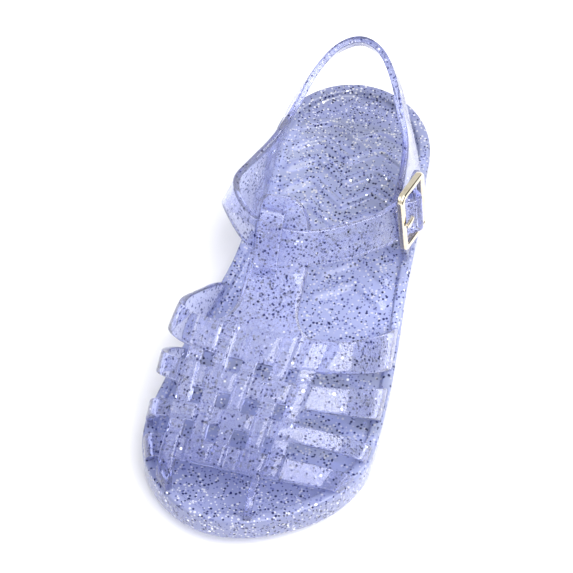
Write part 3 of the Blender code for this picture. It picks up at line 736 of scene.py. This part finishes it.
# %% [markdown]
# ## The keeper
#
# A narrow bridge leaves the T-bar below the ankle strap, arches over it and joins the tab above, so
# the strap stays in place. It is a short wall along a path seen from the side.

# %% The keeper
KEEPER_CENTRE = -6.6
KEEPER_HALF_WIDTH = 3.4
KEEPER_WALL = 1.8
KEEPER_WAYS = np.array([-1.0, -0.9, -0.3, 0.3, 0.9, 1.0])
KEEPER = table(
    "along up",
    (90.6, 36.2),
    (90.4, 38.6),
    (89.4, 41.6),
    (86.8, 46.2),
    (84.2, 50.2),
    (81.8, 52.2),
    (79.4, 51.2),
    (78.6, 49.0),
)
keeper_at = np.linspace(0, len(KEEPER["up"]) - 1, 2 * len(KEEPER["up"]) - 1)
keeper_path = np.stack([rounded(KEEPER["along"], keeper_at), rounded(KEEPER["up"], keeper_at)], axis=-1)
keeper_across = KEEPER_CENTRE + KEEPER_HALF_WIDTH * KEEPER_WAYS
keeper_points = np.empty((len(keeper_at), len(keeper_across), 3))
keeper_points[..., 0] = keeper_across[None, :]
keeper_points[..., 1:] = keeper_path[:, None, :]
keeper_half = np.full(keeper_points.shape[:2], KEEPER_WALL / 2)
keeper_keep = np.ones((keeper_points.shape[0] - 1, keeper_points.shape[1] - 1), dtype=bool)
keeper = wall_piece("keeper", keeper_points, keeper_half, keeper_half, keeper_keep)

# %% [markdown]
# ## Materials
#
# Colours are written as the sRGB hex values that a colour picker shows, and one function makes them
# linear for the shader. Another adds a node, sets it and links it, so that a material reads as a list.

# %% Colours and nodes
def linear(hex_colour):
    """sRGB hex to linear RGBA: each channel is undone by the standard's curve."""
    channels = np.array([int(hex_colour[i:i + 2], 16) for i in (1, 3, 5)]) / 255.0
    straight = np.where(channels <= 0.04045, channels / 12.92, ((channels + 0.055) / 1.055) ** 2.4)
    return (*straight.tolist(), 1.0)


def add(tree, kind, links=(), **settings):
    """Add a node, set its attributes and sockets by name, and link other sockets to it."""
    node = tree.nodes.new(kind)
    for name, value in settings.items():
        if hasattr(node, name):
            setattr(node, name, value)
        else:
            node.inputs[name.replace("_", " ")].default_value = value
    for socket, source in links:
        tree.links.new(source, node.inputs[socket])
    return node


def new_material(name):
    """A node material, with its tree and its Principled shader."""
    material = bpy.data.materials.new(name)
    material.use_nodes = True
    tree = material.node_tree
    return material, tree, tree.nodes["Principled BSDF"]


def mapped(tree, value, before, after, kind="LINEAR"):
    """Carry one range of numbers over to another, held at both ends."""
    node = add(tree, "ShaderNodeMapRange", [("Value", value)], interpolation_type=kind)
    for socket, number in zip(("From Min", "From Max", "To Min", "To Max"), (*before, *after)):
        node.inputs[socket].default_value = number
    return node.outputs[0]


print("lilac in linear light:", np.round(linear("#C3C8F2"), 3))

# %% [markdown]
# ## Clear lilac PVC with glitter
#
# Soft PVC is clear, and a little dye makes it lilac: the longer the way of the light through it, the
# deeper the colour, which is what a volume absorption does. It leaves a polished mould, so it is
# glossy with a faint waviness. Glitter flakes of about half a millimetre are stirred in. A few lie
# face up and flash like small mirrors, others show a dark blue side, and those deep inside only cloud
# the plastic. A Voronoi texture in real size gives the flakes: each cell is one flake, and its random
# colour decides what kind it is. Towards toe and heel the colour is painted a little darker: painted
# shade for how those ends are lit.

# %% Flake layers
FLAKE_SPACING = 1.0
FLAKE_REACH = 0.34
FLAKE_SIZES = (0.55, 1.2)
CLOUD_SPACING = 0.8
CLOUD_REACH = 0.42
CLOUD_SHARE = 0.35
DRIFT_SIZE = 13.0
DRIFT_RANGE = (0.42, 0.75)
# Painted shade at toe and heel grows from the first distance to the second from the middle of the shoe.
END_SHADE_FROM = 44.0
END_SHADE_TO = 74.0
SWARM_CORE = 0.4
SWARMS = (
    ((-3.0, -16.0, 33.0), 12.0),
    ((-12.0, -62.0, 10.0), 10.0),
    ((28.0, -16.0, 18.0), 9.0),
    ((28.0, -34.0, 14.0), 8.0),
    ((25.0, -48.0, 14.0), 7.0),
    ((28.0, 24.0, 36.0), 9.0),
    ((2.0, 70.0, 15.0), 18.0),
)


def flakes(tree, where, spacing_mm, reach):
    """One layer of flakes of mixed sizes: 1 inside a flake, and the random numbers of its cell."""
    cells = add(tree, "ShaderNodeTexVoronoi", [("Vector", where)], Scale=1.0 / (spacing_mm * MM))
    lot = add(tree, "ShaderNodeSeparateColor", [("Color", cells.outputs["Color"])])
    size = mapped(tree, lot.outputs["Blue"], (0.0, 1.0), [reach * share for share in FLAKE_SIZES])
    links = [(0, cells.outputs["Distance"]), (1, size)]
    inside = add(tree, "ShaderNodeMath", links, operation="LESS_THAN")
    return inside.outputs[0], lot.outputs


def flake_share(tree, where, least, most):
    """Share of dark flakes: a slow drift, and full swarms of them round a few listed places."""
    scale = 1.0 / (DRIFT_SIZE * MM)
    drift = add(tree, "ShaderNodeTexNoise", [("Vector", where)], Scale=scale, Detail=1.0)
    total = mapped(tree, drift.outputs["Fac"], DRIFT_RANGE, (least, most))
    for centre_mm, radius_mm in SWARMS:
        away = add(tree, "ShaderNodeVectorMath", [(0, where)], operation="DISTANCE")
        away.inputs[1].default_value = Vector(centre_mm) * MM
        radius = radius_mm * MM
        near = mapped(tree, away.outputs["Value"], (radius * SWARM_CORE, radius), (most, 0.0))
        more = add(tree, "ShaderNodeMath", [(0, total), (1, near)], operation="MAXIMUM")
        total = more.outputs[0]
    return total


def end_shade_share(tree, where, end):
    """Share of painted shade: 0 in the middle of the shoe and 1 at one end: the heel for 1, the toe for
    -1.
    """
    parts = add(tree, "ShaderNodeSeparateXYZ", [("Vector", where)])
    far = add(tree, "ShaderNodeMath", [(0, parts.outputs["Y"])], operation="MULTIPLY")
    far.inputs[1].default_value = end
    return mapped(tree, far.outputs[0], (END_SHADE_FROM * MM, END_SHADE_TO * MM), (0.0, 1.0), "SMOOTHSTEP")


def drawn(tree, lot, limit, inside):
    """Flakes whose random number is below a limit, a number or another socket."""
    chosen = add(tree, "ShaderNodeMath", [(0, lot)], operation="LESS_THAN")
    if isinstance(limit, float):
        chosen.inputs[1].default_value = limit
    else:
        tree.links.new(limit, chosen.inputs[1])
    both = add(tree, "ShaderNodeMath", [(0, chosen.outputs[0]), (1, inside)], operation="MULTIPLY")
    return both.outputs[0]


def blend(tree, factor, first, second, strength=1.0):
    """Mix two colours, each a hex value or a socket, by a factor times a strength."""
    scaled = add(tree, "ShaderNodeMath", [(0, factor)], operation="MULTIPLY")
    scaled.inputs[1].default_value = strength
    mix = add(tree, "ShaderNodeMix", data_type="RGBA")
    tree.links.new(scaled.outputs[0], mix.inputs[0])
    for socket, colour in ((mix.inputs[6], first), (mix.inputs[7], second)):
        if isinstance(colour, str):
            socket.default_value = linear(colour)
        else:
            tree.links.new(colour, socket)
    return mix.outputs[2]


# %% PVC with glitter
TONE_SIZE = 18.0
WAVE_SIZE = 5.0
DYE = "#A0ADED"
DARK_FLAKE = "#262B5E"
BRIGHT_FLAKE = "#F4F6FF"
DARK_CLOUD = "#7F86BE"
BRIGHT_CLOUD = "#F6F7FF"
# The last two tints of each list are painted shade: darker at the toe, then at the heel.
SOLE_TONES_AND_END_SHADES = ("#B8C1EE", "#CAD2F6", "#A8AFD8", "#A2A9D0")
STRAP_TONES_AND_END_SHADES = ("#DADFF8", "#EAEDFD", "#B4BAE0", "#8F94B2")


def glitter_pvc(name, tones_and_end_shades, shares, transmission, roughness, cloud, dye):
    """Clear plastic with flakes. Tints: two tones, then painted shade at toe and heel. Shares: dark
    from, dark to, bright.
    """
    material, tree, shader = new_material(name)
    where = add(tree, "ShaderNodeTexCoord").outputs["Object"]
    inside, lot = flakes(tree, where, FLAKE_SPACING, FLAKE_REACH)
    dark = drawn(tree, lot["Red"], flake_share(tree, where, shares[0], shares[1]), inside)
    bright = drawn(tree, lot["Green"], shares[2], inside)
    deep_inside, deep_lot = flakes(tree, where, CLOUD_SPACING, CLOUD_REACH)
    deep_dark = drawn(tree, deep_lot["Red"], CLOUD_SHARE, deep_inside)
    deep_bright = drawn(tree, deep_lot["Green"], CLOUD_SHARE, deep_inside)

    scale = 1.0 / (TONE_SIZE * MM)
    tone = add(tree, "ShaderNodeTexNoise", [("Vector", where)], Scale=scale, Detail=2.0)
    colour = blend(tree, tone.outputs["Fac"], tones_and_end_shades[0], tones_and_end_shades[1])
    # Painted shade: the colour darkens towards the toe and the heel, for how those ends are lit.
    colour = blend(tree, end_shade_share(tree, where, -1.0), colour, tones_and_end_shades[2])
    colour = blend(tree, end_shade_share(tree, where, 1.0), colour, tones_and_end_shades[3])
    colour = blend(tree, deep_dark, colour, DARK_CLOUD, cloud)
    colour = blend(tree, deep_bright, colour, BRIGHT_CLOUD, cloud)
    colour = blend(tree, dark, colour, DARK_FLAKE)
    colour = blend(tree, bright, colour, BRIGHT_FLAKE)
    tree.links.new(colour, shader.inputs["Base Color"])
    tree.links.new(bright, shader.inputs["Metallic"])

    scale = 1.0 / (WAVE_SIZE * MM)
    wave = add(tree, "ShaderNodeTexNoise", [("Vector", where)], Scale=scale, Detail=3.0).outputs["Fac"]
    bump = add(tree, "ShaderNodeBump", [("Height", wave)], Strength=0.15, Distance=0.4 * MM)
    tree.links.new(bump.outputs["Normal"], shader.inputs["Normal"])
    shader.inputs["Roughness"].default_value = roughness
    shader.inputs["IOR"].default_value = 1.45
    shader.inputs["Transmission Weight"].default_value = transmission
    absorb = add(tree, "ShaderNodeVolumeAbsorption", Color=linear(DYE), Density=dye)
    tree.links.new(absorb.outputs["Volume"], tree.nodes["Material Output"].inputs["Volume"])
    return material


thick_pvc = glitter_pvc("cloudy_lilac_pvc_of_the_sole", SOLE_TONES_AND_END_SHADES, (0.5, 1.0, 0.05),
                        transmission=0.54, roughness=0.08, cloud=1.0, dye=40.0)
thin_pvc = glitter_pvc("clear_lilac_pvc_of_the_straps", STRAP_TONES_AND_END_SHADES, (0.3, 0.95, 0.03),
                       transmission=0.86, roughness=0.06, cloud=0.65, dye=120.0)
print("materials:", thick_pvc.name, "and", thin_pvc.name)

# %% [markdown]
# ## One upper
#
# Cage, band and keeper leave the mould as one body, with no joint inside it. That matters for
# clear plastic, because every inner face would bend the light and show as a line. So the walls are
# united by Boolean modifiers, which keep only the outside. The thick sole is cloudy, so the roots of
# the straps can stand in its rim without being seen.

# %% Unite the upper
THIN_MM = 0.004
SHARP_DEGREES = 48


def unite(target, others):
    """Boolean union of closed meshes, baked one after the other."""
    for other in others:
        join = target.modifiers.new("unite", "BOOLEAN")
        join.operation = "UNION"
        join.solver = "MANIFOLD"
        join.object = other
        apply_modifiers(target)
        bpy.data.objects.remove(other)


def mend(piece, thin_mm):
    """Clean up after Booleans: no hair-thin faces, and triangles that avoid thin corners."""
    work = bmesh.new()
    work.from_mesh(piece.data)
    bmesh.ops.dissolve_degenerate(work, dist=thin_mm * MM, edges=work.edges)
    bmesh.ops.triangulate(work, faces=work.faces, quad_method="BEAUTY", ngon_method="BEAUTY")
    flawed_edges = sum(not edge.is_manifold for edge in work.edges)
    work.to_mesh(piece.data)
    work.free()
    return flawed_edges


unite(cage, [band, keeper])
print("edges of the upper that do not join two faces:", mend(cage, THIN_MM))
upper = cage
upper.name = "upper_moulding"
sole.name = "sole_moulding"
for piece, material in ((upper, thin_pvc), (sole, thick_pvc)):
    piece.data.name = piece.name
    piece.data.materials.clear()
    piece.data.materials.append(material)
    piece.data.shade_smooth()
    piece.data.set_sharp_from_angle(angle=math.radians(SHARP_DEGREES))
    piece.data.calc_loop_triangles()
    print(piece.name, "has", len(piece.data.loop_triangles), "triangles")

# %% [markdown]
# ## The buckle
#
# The buckle is a small die-cast frame on the outside of the strap. The end of its prong comes out of
# the strap's bulge and rests on the front bar. Both are a profile carried along a path. The path of
# the frame is a rectangle with round corners in the plane of the strap.

# %% Frame and prong
BUCKLE_LENGTH = 15.0
BUCKLE_HEIGHT = 19.4
BUCKLE_BAR = 2.2
BUCKLE_DEPTH = 1.8
BUCKLE_CORNER = 1.3
BUCKLE_GAP = 0.35
PRONG_WIDTH = 1.8
PRONG_DEPTH = 1.0
PRONG_FROM = 2.8
PRONG_TO = 7.3
PRONG_DIP = 0.3
PRONG_TAPER = 0.35
PRONG_POINTS = 25
CORNER_POINTS = 9
BEVEL_WIDTH = 0.16
BEVEL_DEGREES = 28
METAL_SHARP_DEGREES = 40
SECTION = table(
    "across up",
    (-0.5, -0.5), (-0.5, 0.1), (-0.42, 0.36), (-0.24, 0.5),
    (0.24, 0.5), (0.42, 0.36), (0.5, 0.1), (0.5, -0.5),
)


def carried(name, path, sideways, upward, widths, depths, ring):
    """Carry the bevelled section along a path; the two directions and sizes may change along it."""
    across = SECTION["across"][None, :, None] * widths[:, None, None] * sideways[:, None]
    up = SECTION["up"][None, :, None] * depths[:, None, None] * upward[:, None]
    points = path[:, None] + across + up
    number = np.arange(points.shape[0] * points.shape[1]).reshape(points.shape[:2])
    turned, after = np.roll(number, -1, axis=1), np.roll(number, -1, axis=0)
    skin = np.stack([number, turned, np.roll(turned, -1, axis=0), after], axis=-1)
    faces = (skin if ring else skin[:-1]).reshape(-1, 4).tolist()
    if not ring:
        faces += [number[0][::-1].tolist(), number[-1].tolist()]
    piece = new_piece(name, points, faces)
    close_up(piece, MERGE_MM)
    bevel = piece.modifiers.new("soften edges", "BEVEL")
    bevel.width = BEVEL_WIDTH * MM
    bevel.segments = 2
    bevel.limit_method = "ANGLE"
    bevel.angle_limit = math.radians(BEVEL_DEGREES)
    apply_modifiers(piece)
    piece.data.shade_smooth()
    piece.data.set_sharp_from_angle(angle=math.radians(METAL_SHARP_DEGREES))
    return piece


half_along = (BUCKLE_LENGTH - BUCKLE_BAR) / 2 - BUCKLE_CORNER
half_down = (BUCKLE_HEIGHT - BUCKLE_BAR) / 2 - BUCKLE_CORNER
quarter = np.linspace(0.0, np.pi / 2, CORNER_POINTS)
angle = (quarter[None, :] + np.arange(4)[:, None] * np.pi / 2).ravel()
corner_along = np.repeat([1, -1, -1, 1], CORNER_POINTS) * half_along
corner_down = np.repeat([1, 1, -1, -1], CORNER_POINTS) * half_down
ray = np.cos(angle)[:, None] * buckle_along + np.sin(angle)[:, None] * buckle_down
flat = corner_along[:, None] * buckle_along + corner_down[:, None] * buckle_down + BUCKLE_CORNER * ray
lifted = buckle_centre + buckle_out * (BAND_WALL / 2 + BUCKLE_GAP + BUCKLE_DEPTH / 2)
even = np.ones(len(flat))
outwards = np.broadcast_to(buckle_out, flat.shape)
buckle_frame = carried("buckle_frame_cast", lifted + flat, ray, outwards,
                       BUCKLE_BAR * even, BUCKLE_DEPTH * even, True)

way = np.linspace(0.0, 1.0, PRONG_POINTS)
resting = BAND_WALL / 2 + 2 * BUCKLE_GAP + BUCKLE_DEPTH + PRONG_DEPTH / 2
line = buckle_centre + (PRONG_FROM + (PRONG_TO - PRONG_FROM) * way)[:, None] * buckle_along
line = line + (resting - PRONG_DIP * (1.0 - way) ** 2)[:, None] * buckle_out
taper = 1.0 - PRONG_TAPER * way ** 3
sideways = np.broadcast_to(buckle_down, line.shape)
upward = np.broadcast_to(buckle_out, line.shape)
prong = carried("buckle_prong_wire", line, sideways, upward,
                PRONG_WIDTH * taper, PRONG_DEPTH * taper, False)
print("buckle:", len(buckle_frame.data.polygons), "and", len(prong.data.polygons), "faces")

# %% [markdown]
# ## Pale gold plating
#
# The buckle is cast from zinc and plated in a pale champagne gold. Plating follows the casting, so
# the faces are bright but not quite flat, and handling leaves fine scratches that blur the highlights.

# %% Plated buckle
SPOT_SIZE = 1.6
SCRATCH_SIZE = 0.5


def gold_plating():
    """Bright pale metal: a slightly uneven colour, and roughness that changes from spot to spot."""
    material, tree, shader = new_material("pale_gold_plated_zinc")
    where = add(tree, "ShaderNodeTexCoord").outputs["Object"]
    scale = 1.0 / (SPOT_SIZE * MM)
    spot = add(tree, "ShaderNodeTexNoise", [("Vector", where)], Scale=scale, Detail=4.0).outputs["Fac"]
    tree.links.new(blend(tree, spot, "#C4B89C", "#E6DFCF"), shader.inputs["Base Color"])
    tree.links.new(mapped(tree, spot, (0.0, 1.0), (0.1, 0.24)), shader.inputs["Roughness"])
    scale = 1.0 / (SCRATCH_SIZE * MM)
    scratch = add(tree, "ShaderNodeTexNoise", [("Vector", where)], Scale=scale, Detail=2.0)
    height = scratch.outputs["Fac"]
    bump = add(tree, "ShaderNodeBump", [("Height", height)], Strength=0.1, Distance=0.05 * MM)
    tree.links.new(bump.outputs["Normal"], shader.inputs["Normal"])
    shader.inputs["Metallic"].default_value = 1.0
    return material


plating = gold_plating()
for piece in (buckle_frame, prong):
    piece.data.materials.clear()
    piece.data.materials.append(plating)
print("material:", plating.name)

# %% [markdown]
# ## Riding on the frame
#
# Each piece says which solids of the frame it stands for and which body it moves with. The sandal has
# no joints, so all of it rides on the one body.

# %% Ride on the frame
for piece, nodes, slot in (
    (sole, ("sole",), "sole"),
    (upper, ("upper",), "upper"),
    (buckle_frame, ("buckle_frame",), "buckle_frame"),
    (prong, ("buckle_prong",), "buckle_prong"),
):
    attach(piece, "root")
    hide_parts(*nodes)
    print(piece.name, "stands for", ", ".join(nodes))

# %% [markdown]
# ## Floor, light and camera
#
# The sandal stands on a plain pale floor in even studio light: a bright surround, a large soft light
# above the outer side, whose reflection whitens the strips there, and a weaker one on the other side.
# Two black cards that the camera does not see draw dark lines into the clear edges and the metal.
# The camera looks down on the toe from in front with a long lens.

# %% Floor and light
FLOOR_HALF = 1.5
CARD_AWAY = 0.2
CARD_HALF_LENGTH = 0.2
CARD_HEIGHT = 0.18
floor_mesh = bpy.data.meshes.new("floor")
floor_corners = FLOOR_HALF * np.array([[-1, -1, 0], [1, -1, 0], [1, 1, 0], [-1, 1, 0]], dtype=float)
floor_mesh.from_pydata(floor_corners, [], [[0, 1, 2, 3]])
floor = bpy.data.objects.new("floor", floor_mesh)
bpy.context.scene.collection.objects.link(floor)
floor_paint, _, floor_shader = new_material("pale_studio_floor")
floor_shader.inputs["Base Color"].default_value = linear("#F4F4F6")
floor_shader.inputs["Roughness"].default_value = 0.7
floor_mesh.materials.append(floor_paint)

world = bpy.data.worlds.new("studio")
world.use_nodes = True
world.node_tree.nodes["Background"].inputs["Color"].default_value = linear("#FFFFFF")
world.node_tree.nodes["Background"].inputs["Strength"].default_value = 0.95
bpy.context.scene.world = world


def soft_light(name, direction, distance, width, height, watts):
    """Rectangular area light that looks at the sandal from a direction."""
    lamp = bpy.data.lights.new(name, "AREA")
    lamp.energy = watts
    lamp.shape = "RECTANGLE"
    lamp.size = width
    lamp.size_y = height
    light = bpy.data.objects.new(name, lamp)
    away = Vector(direction).normalized()
    turned = away.to_track_quat("Z", "Y").to_matrix().to_4x4()
    light.matrix_world = Matrix.Translation(away * distance) @ turned
    bpy.context.scene.collection.objects.link(light)


soft_light("key", (0.545, -0.12, 0.84), distance=0.9, width=1.2, height=0.76, watts=15.0)
soft_light("fill", (-0.7, -0.2, 0.7), distance=1.0, width=0.9, height=0.9, watts=3.5)


def black_card(name, across, paint):
    """Upright black card beside the sandal that only reflections and refractions see."""
    mesh = bpy.data.meshes.new(name)
    low_edge = [(across, along, 0.0) for along in (-CARD_HALF_LENGTH, CARD_HALF_LENGTH)]
    high_edge = [(across, along, CARD_HEIGHT) for along in (CARD_HALF_LENGTH, -CARD_HALF_LENGTH)]
    mesh.from_pydata(low_edge + high_edge, [], [[0, 1, 2, 3]])
    mesh.materials.append(paint)
    card = bpy.data.objects.new(name, mesh)
    card.visible_camera = False
    card.visible_shadow = False
    bpy.context.scene.collection.objects.link(card)


card_paint, _, card_shader = new_material("black_studio_card")
card_shader.inputs["Base Color"].default_value = linear("#141416")
card_shader.inputs["Roughness"].default_value = 0.9
black_card("card_inner_side", -CARD_AWAY, card_paint)
black_card("card_outer_side", CARD_AWAY, card_paint)
bpy.context.scene.view_settings.view_transform = "Standard"
print("lights:", [light.name for light in bpy.data.lights])

# %% Camera
AZIMUTH = math.radians(15.0)
ELEVATION = math.radians(54.0)
ROLL = math.radians(-0.45)
DISTANCE = 0.75
LENS = 164.0
AIM = Vector((-0.0045, 0.0, 0.0165))
away = Vector((
    math.sin(AZIMUTH) * math.cos(ELEVATION),
    -math.cos(AZIMUTH) * math.cos(ELEVATION),
    math.sin(ELEVATION),
))
camera_data = bpy.data.cameras.new("camera")
camera_data.lens = LENS
camera_data.sensor_width = 36.0
camera_data.clip_start = 0.01
camera = bpy.data.objects.new("camera", camera_data)
turned = away.to_track_quat("Z", "Y").to_matrix().to_4x4() @ Matrix.Rotation(ROLL, 4, "Z")
camera.matrix_world = Matrix.Translation(AIM + away * DISTANCE) @ turned
bpy.context.scene.collection.objects.link(camera)
bpy.context.scene.camera = camera
print("camera", round(DISTANCE, 2), "m away with a", LENS, "mm lens")
